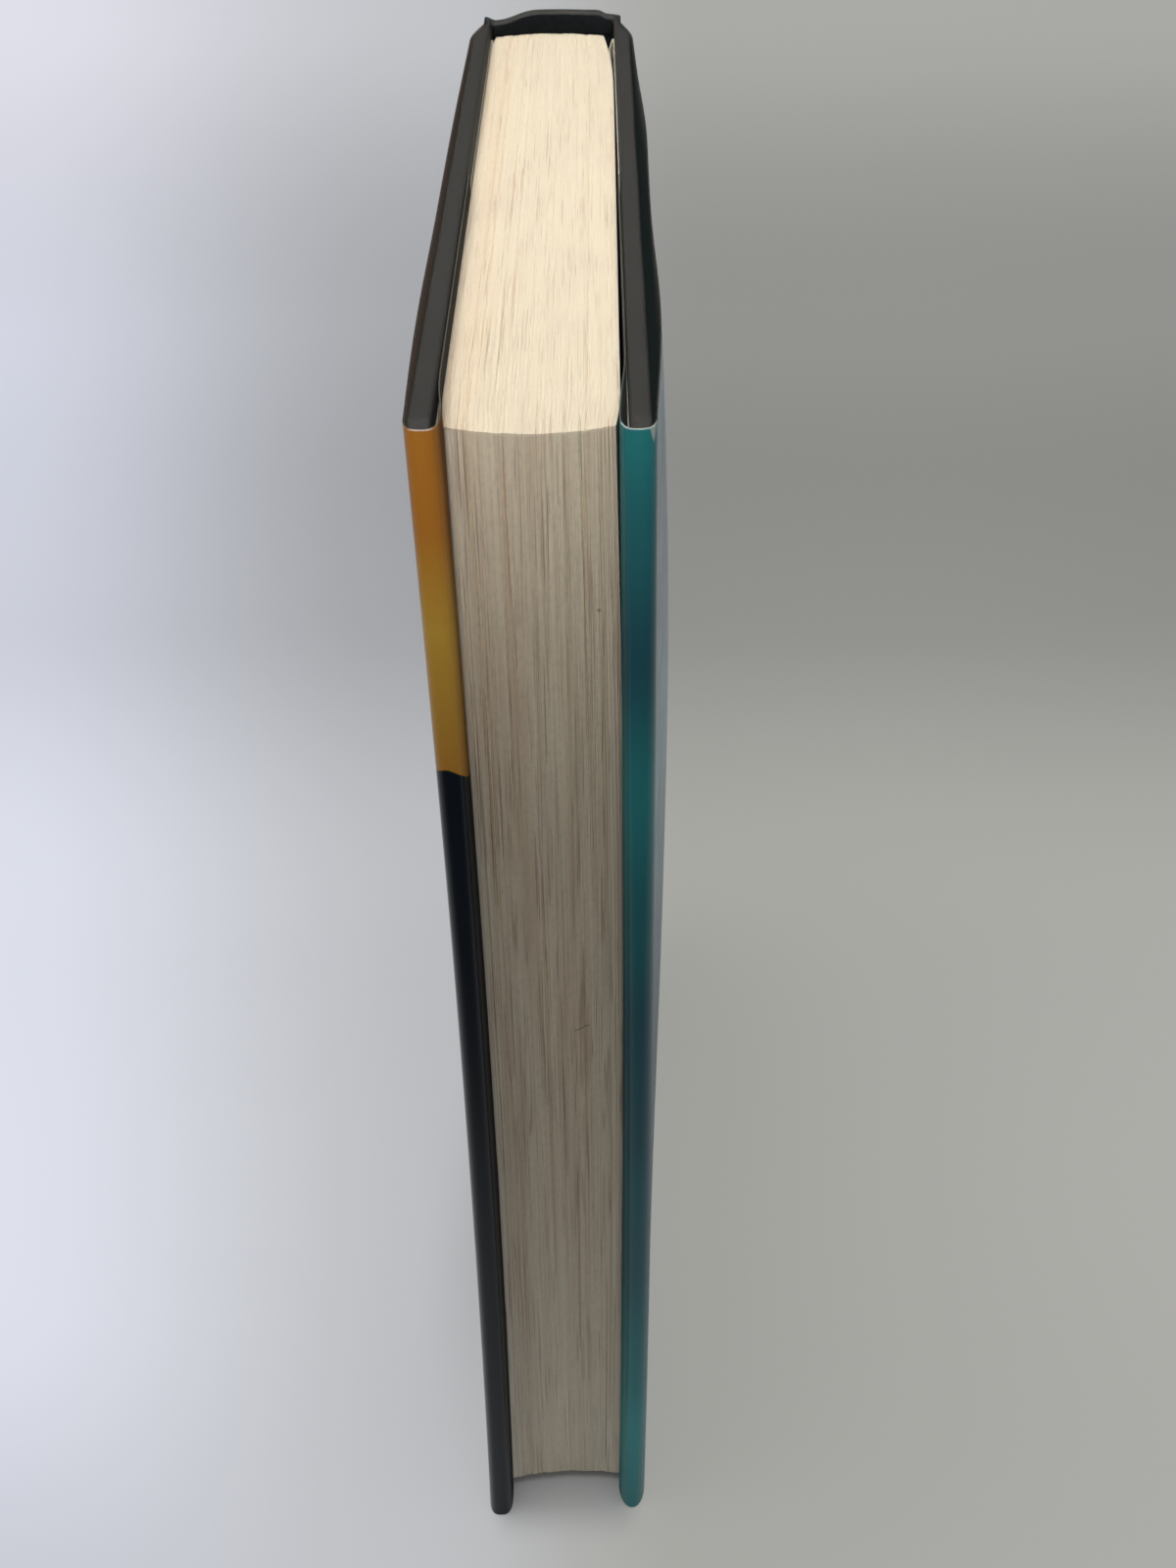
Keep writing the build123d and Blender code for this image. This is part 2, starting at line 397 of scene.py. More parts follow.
def page_finish(settings):
    """Cut edges of many leaves: fine streaks along the leaves, some of them deeper, with a painted
    highlight and painted shade on the fore-edge.
    """
    finish = Finish("page_edges")
    streaks = finish.cloud(finish.coordinates(0.006, 0.006), 5200, 3.0, 0.65)
    dashes = finish.cloud(finish.coordinates(0.0065, 0.006), 5400, 1.0)
    broken = finish.cloud(finish.coordinates(0.010, 0.008), 4900, 1.0)
    sections = finish.cloud(finish.coordinates(0.02, 0.012), 620)
    wander = finish.cloud(finish.coordinates(0.012, 0.008), 1100, 2.0, 0.55)
    breaks = finish.cloud(finish.coordinates(0.16, 0.1), 420)
    blotches = finish.cloud(finish.coordinates(0.5, 0.3), 110, 3.0, 0.6)
    grain = finish.cloud(finish.coordinates(0.7, 0.5), 1500, 3.0, 0.7)
    across, along, height = finish.parts(finish.coordinates())
    x, y = across - middle_x, along - (fore_y + back_centre)
    on_head = height.rise(page_head - 0.5 * MM, page_head - 0.2 * MM)
    in_front = 1 - on_head
    half_way = in_front * height.near(0.13, 0.13)
    fine = streaks.rise(0.36, 0.66)
    left = 1 - x.rise(-0.98 * half_block, -0.3 * half_block)
    # Painted highlight: the fore-edge is paler along its left edge, against the shade of the fold
    # beside it
    painted_highlight_left_edge = 1 - x.rise(-half_block, -0.7 * half_block)
    line_depth = 0.2 + 0.34 * in_front + 0.32 * half_way
    lines = wander.near(0.5, 0.022) * breaks.rise(0.42, 0.55) * line_depth
    calm = 1 - along.rise(fore_y + 70 * MM, fore_y + page_width) * 0.65
    gaps = broken.rise(0.67, 0.72) * calm
    reach = (x * x + y * y) ** 0.5 + grain * 0.3 * MM
    by_spine = along.rise(fore_y + page_width - 2 * MM, fore_y + page_width - 1 * MM)
    torn = reach.rise(back_radius - 0.35 * MM, back_radius - 0.1 * MM) * on_head * by_spine
    nick_x, nick_z, nick_slope = 4.5 * MM, 129.05 * MM, 0.56
    off_nick = height - nick_z - (x - nick_x) * nick_slope
    nick = off_nick.near(0.0, 0.3 * MM) * x.near(4.8 * MM, 1.6 * MM).rise(0.1, 0.3)
    spot = height.near(205.9 * MM, 0.5 * MM) * x.near(7.82 * MM, 0.45 * MM)
    marks = (nick.rise(0.2, 0.7) + spot.rise(0.2, 0.6)) * in_front
    in_bands = 0.08 + 0.34 * in_front + 0.12 * half_way
    brown = (0.50, 0.37, 0.29)
    layers = [
        (fine * (0.14 + 0.18 * in_front), settings.paper_shade),
        (sections.rise(0.42, 0.64) * in_bands, settings.paper_shade),
        (blotches.rise(0.45, 0.75) * 0.14, (0.55, 0.45, 0.38)),
        (grain.rise(0.4, 0.75) * (0.06 + 0.16 * in_front), (0.42, 0.35, 0.29)),
        (left * sections.rise(0.3, 0.6) * on_head * 0.26, (0.80, 0.56, 0.36)),
        # The painted highlight along the fore-edge's left edge
        (painted_highlight_left_edge * in_front * 0.9, (0.97, 0.89, 0.73)),
        (x.rise(0.72 * half_block, 0.9 * half_block) * in_front * 0.3, (0.92, 0.82, 0.66)),
        (x.rise(0.86 * half_block, half_block) * in_front * 0.3, brown),
        (lines, (0.42, 0.29, 0.21)),
        (dashes.rise(0.61, 0.67) * breaks.rise(0.42, 0.6) * calm * 0.6, (0.56, 0.38, 0.25)),
        (gaps * (0.45 + 0.2 * in_front), (0.30, 0.22, 0.15)),
        # Painted shade: the fore-edge turns greyer and darker lower down
        ((1 - height.rise(0.0, 0.8 * page_head)) * 0.3, (0.60, 0.585, 0.55)),
        (torn * 0.8, (0.90, 0.76, 0.68)),
        (marks * 0.6, (0.24, 0.19, 0.14)),
    ]
    finish.bump(0.5 - fine * 0.4 - gaps * 0.5 - lines * 0.3 + grain * 0.2, 0.05 * MM)
    return finish.done(finish.layered(settings.paper, layers), 0.93, 0.2)


def endpaper_finish(settings):
    """Smooth wove paper of the endpapers."""
    finish = Finish("endpaper")
    place = finish.on_sheet()
    fibres = finish.cloud(place, 1900, 4.0, 0.65)
    share = fibres.rise(0.3, 0.7) * 0.35 + finish.cloud(place, 60, 3.0) * 0.3
    finish.bump(fibres, 0.02 * MM)
    paper = settings.endpaper
    return finish.done(finish.mix(share, paper, 0.86 * paper), 0.85, 0.25)


def cloth_finish(settings):
    """Filled book cloth: a fine plain weave with rubbed patches and pale specks."""
    finish = Finish("case_cloth")
    place = finish.on_sheet()
    across, along, _ = finish.parts(place)
    turns = 2 * pi / settings.weave
    wobble = finish.cloud(place, 700) * 1.4
    weave = (across * turns + wobble).sine() * (along * turns + wobble).sine()
    clouds = finish.cloud(place, 170, 4.0, 0.65)
    specks = finish.cloud(place, 3000, 2.0, 0.7)
    dye = settings.case_cloth
    rubbed = finish.mix(clouds.rise(0.35, 0.7), dye, 1.55 * dye)
    colour = finish.mix(weave.rise(-0.6, 0.9) * 0.4, 0.6 * dye, rubbed)
    colour = finish.mix(specks.rise(0.66, 0.78) * 0.35, colour, (0.2, 0.19, 0.17))
    finish.bump(weave * 0.5 + clouds * 0.6, 0.04 * MM)
    return finish.done(colour, 0.62 + clouds * 0.2, 0.4)


def gauze_finish():
    """Open starched gauze, as a weave of pale threads over darker gaps."""
    finish = Finish("gauze")
    across, along, up = finish.parts(finish.coordinates())
    turns = 2 * pi / (1.3 * MM)
    threads = ((across + along) * turns).sine().size() * (up * turns).sine().size()
    finish.bump(threads, -0.1 * MM)
    colour = finish.mix(threads.rise(0.25, 0.7), (0.66, 0.62, 0.5), (0.34, 0.31, 0.25))
    return finish.done(colour, 0.95)


def band_finish(settings):
    """Dark silk of the head and tail bands, with a few pale fibres."""
    finish = Finish("band_thread")
    place = finish.coordinates()
    specks = finish.cloud(place, 2600, 3.0, 0.7)
    silk = finish.mix(finish.cloud(place, 900), settings.band_thread, 2.2 * settings.band_thread)
    finish.bump(specks, 0.06 * MM)
    colour = finish.mix(specks.rise(0.7, 0.76) * 0.7, silk, (0.30, 0.30, 0.27))
    return finish.done(colour, 0.85, 0.08)


def pulp_finish(name, light, dark, scale):
    """Board, card or brown paper: fibres and flecks of pulp."""
    finish = Finish(name)
    place = finish.coordinates()
    fibres = finish.cloud(place, scale, 4.0, 0.7)
    flecks = finish.cloud(place, 3 * scale, 2.0, 0.6)
    colour = finish.mix(fibres.rise(0.3, 0.7), light, dark)
    colour = finish.mix(flecks.rise(0.68, 0.75) * 0.5, colour, (0.12, 0.1, 0.08))
    finish.bump(fibres, 0.08 * MM)
    return finish.done(colour, 0.9, 0.25)


def reverse_finish(side):
    """The jacket's reverse, coloured dark as painted shade, with a painted glow for the little light
    that shines through it from outside.
    """
    finish = Finish(SIDES[side] + "_jacket_reverse")
    fibres = finish.cloud(finish.on_sheet(), 1500, 3.0, 0.6)
    # Painted shade: the reverse's colour is dark, for the gaps it faces
    paper = Color({FRONT: (0.26, 0.20, 0.16), BACK: (0.06, 0.07, 0.07)}[side])
    through = {FRONT: (0.022, 0.0165, 0.012), BACK: (0.009, 0.0128, 0.012)}[side]
    finish.bump(fibres, 0.02 * MM)
    # Emission: a painted glow that stands for light shining through the paper
    finish.feed(finish.surface.inputs["Emission Color"], through)
    finish.feed(finish.surface.inputs["Emission Strength"], 1.0)
    return finish.done(finish.mix(fibres.rise(0.3, 0.7), paper, 0.75 * paper), 0.75)


# The worn part of the jacket's head edge round each fold, and its colour
worn_parts = {
    FRONT: (-1.2 * MM, 1.5 * MM, (0.60, 0.50, 0.44)),
    BACK: (-3.2 * MM, 3.0 * MM, (0.46, 0.52, 0.46)),
}


def worn_part(along, side):
    """1 where a fold's head edge is worn, 0 on the rest of it."""
    low, high, _ = worn_parts[side]
    half = 0.5 * MM
    return along.rise(low - half, low + half) * (1 - along.rise(high - half, high + half))


def cut_edge_finish(side):
    """The jacket's cut edge: dark brown on the panels, olive on the flaps, paler and worn at the
    fold.
    """
    finish = Finish(SIDES[side] + "_jacket_cut_edge")
    place = finish.on_sheet()
    along = finish.parts(place)[0]
    patches = finish.cloud(place, 420).rise(0.35, 0.55)
    fibres = finish.cloud(place, 1200, 3.0, 0.6)
    layers = [
        (along.rise(0.0, 3 * MM), (0.085, 0.082, 0.062)),
        (along.near(0.0, 5 * MM).rise(0.2, 0.6) * 0.6, (0.16, 0.155, 0.12)),
        (worn_part(along, side) * (0.35 + 0.65 * patches), worn_parts[side][2]),
        (fibres.rise(0.5, 0.75) * 0.25, (0.2, 0.18, 0.16)),
    ]
    return finish.done(finish.layered((0.030, 0.020, 0.015), layers), 0.8)


def worn(finish, place, along, height, side):
    """Where the print is rubbed through, just under the cut edge of a fold."""
    ragged = finish.cloud(place, 900, 4.0, 0.7)
    depth = (book_height - jacket_short - height + ragged * 0.5 * MM) / MM
    return (1 - depth.rise(0.2, 0.5)) * worn_part(along, side)


def front_print_finish(settings):
    """The front's print: orange to ochre over navy, with a slanted border at the fold."""
    finish = Finish("jacket_front_print")
    place = finish.on_sheet()
    along, height, _ = finish.parts(place)
    orange, ochre = settings.orange, settings.ochre
    field_foot, field_run = 180 * MM, 55 * MM
    # The print runs orange, ochre and orange up the field; its lowest stops are also lightened
    # towards ochre, as painted light where less lamp light falls
    field = [
        (0.0, between(orange, ochre, 0.2)),
        (0.2, between(orange, ochre, 0.6)),
        (0.48, ochre),
        (0.74, orange),
        (1.0, 0.95 * orange),
    ]
    outer_fall = 1 - along.rise(-4.6 * MM, -0.2 * MM)
    inner_fall = along.rise(-0.8 * MM, 5.2 * MM)
    border = settings.border_height - (outer_fall * 0.5 + inner_fall) * settings.border_fall
    upper = (height - border).rise(-0.15 * MM, 0.15 * MM)
    below = 1 - upper
    mist = finish.cloud(finish.on_sheet(0.35), 26, 3.0)
    lower = finish.mix(mist.rise(0.45, 0.8) * 0.5, settings.navy, (0.012, 0.024, 0.045))
    colour = finish.mix(upper, lower, finish.ramp((height - field_foot) / field_run, field))
    disc_along, disc_height, disc_radius = -66 * MM, 128 * MM, 31 * MM
    disc_x = (along - disc_along) / disc_radius
    disc_y = (height - disc_height) / disc_radius
    reach = (disc_x * disc_x + disc_y * disc_y) ** 0.5
    rule = height.near(32 * MM, 0.5 * MM).rise(0.1, 0.4)
    beside_rule = along.near(disc_along, 42 * MM).rise(0.02, 0.06)
    shapes = [
        ((1 - reach.rise(0.985, 1.0)) * below, (0.50, 0.20, 0.03)),
        (reach.near(1.16, 0.02).rise(0.3, 0.6) * below * 0.8, (0.45, 0.28, 0.08)),
        (rule * beside_rule * 0.8, (0.5, 0.32, 0.1)),
    ]
    colour = finish.layered(colour, shapes)
    # Painted shade on the fold's inner flank, which faces the pages
    turned = along.rise(1.6 * MM, 4.5 * MM)
    colour = finish.mix(turned, colour, (0.45, 0.42, 0.42), "MULTIPLY")
    # Painted shade: the flap is near black from 9 mm past the fold on, where it lies in the gap by
    # the pages
    colour = finish.mix(along.rise(9 * MM, 11 * MM), colour, (0.022, 0.017, 0.014))
    colour = finish.mix(worn(finish, place, along, height, FRONT), colour, (0.74, 0.62, 0.55))
    return laminate(finish, place, colour)


def back_print_finish(settings):
    """The back's print: teal in soft bands from tail to head."""
    finish = Finish("jacket_back_print")
    place = finish.on_sheet()
    along, height, _ = finish.parts(place)
    light, dark = settings.teal, settings.deep_teal
    bright = 1.25 * light
    bands = [
        (0.0, light),
        (0.11, bright),
        (0.20, between(dark, light, 0.85)),
        (0.33, between(dark, light, 0.15)),
        (0.41, between(dark, light, 0.25)),
        (0.47, dark),
        (0.57, dark),
        (0.66, between(dark, light, 0.58)),
        (0.76, bright),
        (0.86, dark),
        (0.94, between(dark, light, 0.55)),
        (1.0, light),
    ]
    mist = finish.cloud(finish.on_sheet(0.4), 22, 3.0)
    depth = (book_height - jacket_short - height) / (1.9 * MM)
    ragged = finish.cloud(place, 1300, 3.0, 0.7)
    corner = along.near(-2.0 * MM, 0.9 * MM) - depth * 0.9 + ragged * 0.3
    nicked = height.near(32.0 * MM, 1.3 * MM) + height.near(7.2 * MM, 1.6 * MM)
    nicks = along.near(-4.6 * MM, 1.2 * MM) * nicked
    layers = [
        (mist.rise(0.4, 0.8) * 0.35, dark),
        # Painted shade: the flap is near black from 5 mm past the fold on
        (along.rise(4.4 * MM, 5.2 * MM), (0.020, 0.022, 0.020)),
        (worn(finish, place, along, height, BACK), (0.60, 0.66, 0.60)),
        (corner.rise(0.05, 0.4) * 0.7, (0.62, 0.66, 0.60)),
        (nicks.rise(0.25, 0.6), (0.02, 0.03, 0.03)),
    ]
    colour = finish.layered(finish.ramp(height / book_height, bands, "EASE"), layers)
    return laminate(finish, place, colour)


def spine_print_finish(settings):
    """The spine's print: the front's two fields carried round, with plain rules."""
    finish = Finish("jacket_spine_print")
    place = finish.on_sheet()
    height = finish.parts(place)[1]
    upper = (height - settings.border_height).rise(-0.15 * MM, 0.15 * MM)
    colour = finish.mix(upper, settings.navy, settings.orange)
    rules = height.near(172 * MM, 0.6 * MM) + height.near(30 * MM, 0.6 * MM)
    colour = finish.mix(rules.rise(0.1, 0.4) * 0.8, colour, (0.5, 0.32, 0.1))
    return laminate(finish, place, colour)


def laminate(finish, place, colour):
    """The clear film over the print: glossy, with faint handling marks."""
    smears = finish.cloud(place, 110, 4.0, 0.65)
    finish.bump(finish.cloud(finish.on_sheet(0.25), 45), 0.1 * MM, 0.4)
    turned = finish.parts(place)[0].rise(1.5 * MM, 4 * MM)
    return finish.done(colour, 0.16 + smears * 0.14 + turned * 0.7, 0.27)


# Mesh helpers


def eased(share):
    """0 to 1 with a smooth start and end."""
    share = min(max(share, 0.0), 1.0)
    return share * share * (3 - 2 * share)


def between(low, high, share):
    """The number or the colour at a share of the way from low to high."""
    return low + (high - low) * share


def spaced(low, high, count):
    """Evenly spaced values from low to high, both included."""
    return [between(low, high, i / count) for i in range(count + 1)]


def bordered(low, high, count):
    """Spaced values with a support value just inside each end."""
    return [low, *spaced(low + border, high - border, count), high]


def in_frame(x, y, z, side=BACK):
    """A point of the book's own axes in the frame."""
    return Vector((middle_x + side * x, fore_y + y, z))


def spread(x, y):
    """A cover's point in plan, turned about the hinge by the little that it gapes."""
    gape = cover_spread * eased((split_y - y) / joint_width)
    dx, dy = x - hinge_x, y - split_y
    return hinge_x + dx * cos(gape) - dy * sin(gape), split_y + dx * sin(gape) + dy * cos(gape)


def lean(y):
    """0 at the hinge line and 1 at the fore-edge of the outer leaves."""
    return max(0.0, (split_y - y) / split_y)


def bow(z, ends, middle, middle_z, reach):
    """A bow over the height: its value at its middle, and at the reach from there."""
    return middle - (middle - ends) * ((z - middle_z) / reach) ** 2


def sway(z):
    """How far the fore-edge of the pages bows towards the back cover."""
    return bow(z, -0.3 * MM, 0.68 * MM, 105 * MM, 125 * MM)


def drift(side, z):
    """How far a cover's fore-edge bows outwards. The front one bows inwards."""
    if side == FRONT:
        return bow(z, -0.35 * MM, -1.35 * MM, 112 * MM, 122 * MM)
    return bow(z, -0.45 * MM, 0.5 * MM, 85 * MM, 147 * MM)


def on_cover(x, y, z, side):
    """A cover's point in the frame: it gapes a little, bows and leans with the pages."""
    x, y = spread(x, y)
    set_back = tail_set[side] * (1 - z / book_height)
    return in_frame(x + drift(side, z) * lean(y), y + set_back * lean(y), z, side)


def lengths_along(points):
    """Distance along a path to each of its points."""
    walked = [0.0]
    for before, after in zip(points, points[1:]):
        walked.append(walked[-1] + (after - before).length)
    return walked


def new_piece(name, bm, materials, smooth=True):
    """A mesh object from a bmesh, with its materials and shading."""
    mesh = bpy.data.meshes.new(name)
    bm.to_mesh(mesh)
    bm.free()
    for material in materials:
        mesh.materials.append(material)
    mesh.polygons.foreach_set("use_smooth", [smooth] * len(mesh.polygons))
    piece = bpy.data.objects.new(name, mesh)
    bpy.context.scene.collection.objects.link(piece)
    return piece


def thicken(piece, thickness, offset):
    """Gives a sheet its thickness: 0 for half on each side, -1 for all of it inside."""
    wall = piece.modifiers.new("thickness", "SOLIDIFY")
    wall.thickness = thickness
    wall.offset = offset
    return wall


def bent_sheet(name, rows, vs, materials, outwards, thickness, offset=0.0, us=None):
    """A sheet bent from a flat grid. A row holds the sheet's points at one height."""
    us = us or lengths_along(rows[0])
    ends = Vector((len(us) - 1, len(vs) - 1))
    bm = bmesh.new()
    bmesh.ops.create_grid(bm, x_segments=len(us) - 1, y_segments=len(vs) - 1, size=1.0)
    marks = {}
    for vert in bm.verts:
        i, j = (round((part + 1) / 2 * end) for part, end in zip(vert.co, ends))
        marks[vert] = (us[i], vs[j])
        vert.co = rows[j][i]
    uv = bm.loops.layers.uv.new("UVMap")
    for face in bm.faces:
        for loop in face.loops:
            loop[uv].uv = marks[loop.vert]
    if not outwards:
        bmesh.ops.reverse_faces(bm, faces=bm.faces)
    piece = new_piece(name, bm, materials)
    wall = thicken(piece, thickness, offset)
    wall.use_even_offset = True
    if len(materials) > 1:
        wall.material_offset = 1
        wall.material_offset_rim = 2
    return piece


def block(low, high):
    """A mesh of the block between two corners."""
    bm = bmesh.new()
    fit = Matrix.Translation((low + high) / 2) @ Matrix.Diagonal((*(high - low), 1.0))
    bmesh.ops.create_cube(bm, size=1.0, matrix=fit)
    return bm


def stands_for(piece, node, side=None):
    """Hides a piece's node. The piece rides on the book, or, given a side, keeps its place
    unattached.
    """
    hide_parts(node)
    if side is None:
        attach(piece, "book")
        return
    start = in_frame(case_side, split_y, 0, side)
    end = in_frame(case_side, split_y - flex, 0, side)
    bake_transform(piece)


def cut_across(bm, axis, places):
    """Cuts a mesh through at places along an axis."""
    normal = Matrix.Identity(3)[axis]
    for place in places:
        geom = bm.verts[:] + bm.edges[:] + bm.faces[:]
        bmesh.ops.bisect_plane(bm, geom=geom, plane_co=normal * place, plane_no=normal)


def map_by_face(bm):
    """A UV map in metres, from the two axes that each face lies along."""
    uv = bm.loops.layers.uv.new("UVMap")
    bm.normal_update()
    for face in bm.faces:
        size = [abs(part) for part in face.normal]
        across, up = [(1, 2), (0, 2), (0, 1)][size.index(max(size))]
        for loop in face.loops:
            loop[uv].uv = (loop.vert.co[across], loop.vert.co[up])


# Pages


def drawn_in(share):
    """How far the corners of the fore-edge are drawn in, most of all at the head."""
    return corner_draw * between(tail_draw_share, 1.0, share**4)


def fore_edge(x, share):
    """The fore-edge's place at a distance x from the middle, hollow at tail, round at head."""
    nose = half_block - drawn_in(share)
    swell = between(-fore_hollow, fore_swell, share)
    skew = tail_skew * ((1 - x / nose) / 2) ** 3 * (1 - share) ** 2
    return -swell * (1 - (x / nose) ** 2) - skew


def spine_edge(x):
    """The rounded back of the pages."""
    return back_centre + sqrt(back_radius**2 - x * x)


def page_side(y, share):
    """Half the thickness of the pages at a distance from the fore-edge."""
    return half_block - drawn_in(share) * max(0.0, 1 - max(y, 0.0) / corner_run) ** 2


def back_draw(y, side):
    """How far a side's outer leaves are drawn in towards the rounded back."""
    most, run, exponent = back_draws[side]
    return most * max(0.0, 1 - (page_width + back_round - y) / run) ** exponent


def leaf_steps(settings):
    """How far each leaf stands out: whole sections, single leaves and a few deep leaves."""
    section_leaves, deep_share, deep_step = 10, 0.07, 2.2
    chance = random.Random(41)
    steps = []
    for i in range(settings.leaves + 1):
        if i % section_leaves == 0:
            section = chance.uniform(-1, 1) * settings.section_step
        step = section + chance.uniform(-1, 1) * settings.leaf_step
        if chance.random() < deep_share:
            step -= deep_step * settings.leaf_step
        steps.append(step)
    return steps


# Deep gaps between leaves on the fore-edge, in millimetres: their distance from the middle
# of the pages, and their lower and upper end
deep_gaps = [
    (-7.7, 150, 232),
    (-9.6, 170, 232),
    (-3.4, 185, 232),
    (3.0, 40, 100),
    (4.5, 95, 150),
    (6.1, 180, 232),
    (-1.2, 60, 165),
    (1.0, 90, 140),
    (7.8, 3, 70),
    (9.3, 3, 60),
    (8.6, 20, 110),
]


def fore_gap(x, z, pitch):
    """How much deeper the fore-edge is at a gap between leaves."""
    deepest, fade = 0.28 * MM, 8.0
    depth = 0.0
    for place, low, high in deep_gaps:
        if abs(x - place * MM) < 0.6 * pitch:
            depth += min(eased((z / MM - low) / fade), eased((high - z / MM) / fade))
    return deepest * min(depth, 1.0)


def place_on_pages(vert, counts, steps, pitch):
    """Moves a point of the unit block to its place on the pages."""
    i, along, up = (round((part + 0.5) * n) for part, n in zip(vert.co, counts))
    share, run = up / counts[2], along / counts[1]
    way = 2 * i / counts[0] - 1
    nose = page_side(0.0, share)
    # Noise makes each leaf's steps uneven along its edges
    of_leaf = i * 0.9
    wave = noise.noise(Vector((of_leaf, share * 9.0, 3.0)))
    deep = fore_gap(way * nose, between(page_foot, page_head, share), pitch)
    fore = fore_edge(way * nose, share) + deep - steps[i] * (0.7 + 0.6 * wave)
    closer_in_front = run * run * (1.4 - 0.4 * run)
    y = between(fore, spine_edge(way * half_block), closer_in_front)
    wave = noise.noise(Vector((of_leaf, y / (9 * MM), 8.0)))
    head = page_head + steps[i] * (0.7 + 0.8 * wave) - 0.05 * MM * max(0.0, wave)
    x = way * (page_side(y, share) - back_draw(y, BACK if way > 0 else FRONT))
    z = between(page_foot - steps[i] * 0.6, head, share)
    vert.co = in_frame(x + sway(z) * lean(y), y, z)


class BOOK_OT_pages(bpy.types.Operator):
    """The pages as one block whose leaves show on its cut edges"""

    bl_idname = "book.pages"
    bl_label = "Pages"

    def execute(self, context):
        settings = context.scene.book_pages
        cells_back, cells_up = 64, 76
        counts = (settings.leaves, cells_back, cells_up)
        bm = bmesh.new()
        bmesh.ops.create_cube(bm, size=1.0)
        for axis, count in enumerate(counts):
            along = [e for e in bm.edges if abs((e.verts[0].co - e.verts[1].co)[axis]) > 1e-6]
            bmesh.ops.subdivide_edges(bm, edges=along, cuts=count - 1, use_grid_fill=True)
        steps = leaf_steps(settings)
        pitch = 2 * half_block / settings.leaves
        for vert in bm.verts:
            place_on_pages(vert, counts, steps, pitch)
        bmesh.ops.recalc_face_normals(bm, faces=bm.faces)
        pages = new_piece("pages", bm, [page_finish(settings)], smooth=False)
        stands_for(pages, "text_block")
        return {"FINISHED"}


def endpaper(name, rows, heights, finish, side):
    """A sheet of endpaper, a little thinner than its CAD node."""
    return bent_sheet(name, rows, heights, [finish], side == BACK, 0.96 * leaf)


def free_leaf(z, side):
    """The free leaf's points at one height, from its fore-edge round its fold."""
    share = (z - page_foot) / (page_head - page_foot)
    skew = tail_skew * (1 - share) ** 2 if side == FRONT else 0.0
    fold_run = 8 * MM
    points = []
    for y in [0.0, border, *spaced(1.0 * MM, corner_run, 6), *spaced(20 * MM, split_y, 22)]:
        drawn = back_draw(y, side) * (1 - eased(1 - (split_y - y) / fold_run))
        x = page_side(y, share) - drawn + leaf / 2 + side * sway(z) * lean(y)
        y -= skew * max(0.0, 1 - y / corner_run)
        points.append(in_frame(x, y, z, side))
    inner, outer = half_block + leaf / 2, paste_x + leaf / 2
    fold = (outer - inner) / 2
    for swing in spaced(0.0, pi, 6)[1:]:
        x = inner + fold * (1 - cos(swing))
        points.append(in_frame(x, split_y + fold * sin(swing), z, side))
    return points


def pasted_leaf(z, side):
    """The pasted leaf's points at one height, from the fold to the board's fore-edge."""
    edge = square - fore_square
    joint = spaced(split_y, split_y - flex, 10)
    flat = spaced(split_y - flex - 1 * MM, turn_in - fore_square + 2 * MM, 24)
    rim = spaced(turn_in - fore_square, edge + border, 5)
    x = paste_x + leaf / 2
    ys = [*joint, *flat, *rim, edge]
    return [on_cover(x + sunk(y, z), y, z, side) for y in ys]


def sunk(y, z):
    """How far the paper sinks past the cloth's turned edges, onto the board."""
    slope = 1.5 * MM
    inside = min(
        eased((y - turn_in + fore_square) / slope),
        eased((board_end - gauze_wing - y) / slope),
        eased((z - turn_in) / slope),
        eased((book_height - turn_in - z) / slope),
    )
    return cloth * inside


class BOOK_OT_endpapers(bpy.types.Operator):
    """The endpapers: a free leaf with its fold, and a leaf pasted to the board"""

    bl_idname = "book.endpapers"
    bl_label = "Endpapers"

    def execute(self, context):
        finish = endpaper_finish(context.scene.book_pages)
        heights = bordered(page_foot, page_head, 46)
        for side, name in SIDES.items():
            rows = [free_leaf(z, side) for z in heights]
            piece = endpaper(name + "_free_endpaper", rows, heights, finish, side)
            stands_for(piece, name + "_flyleaf")
            rows = [pasted_leaf(z, side) for z in heights]
            piece = endpaper(name + "_pasted_endpaper", rows, heights, finish, side)
            stands_for(piece, name + "_pastedown", side)
        return {"FINISHED"}


# Bands


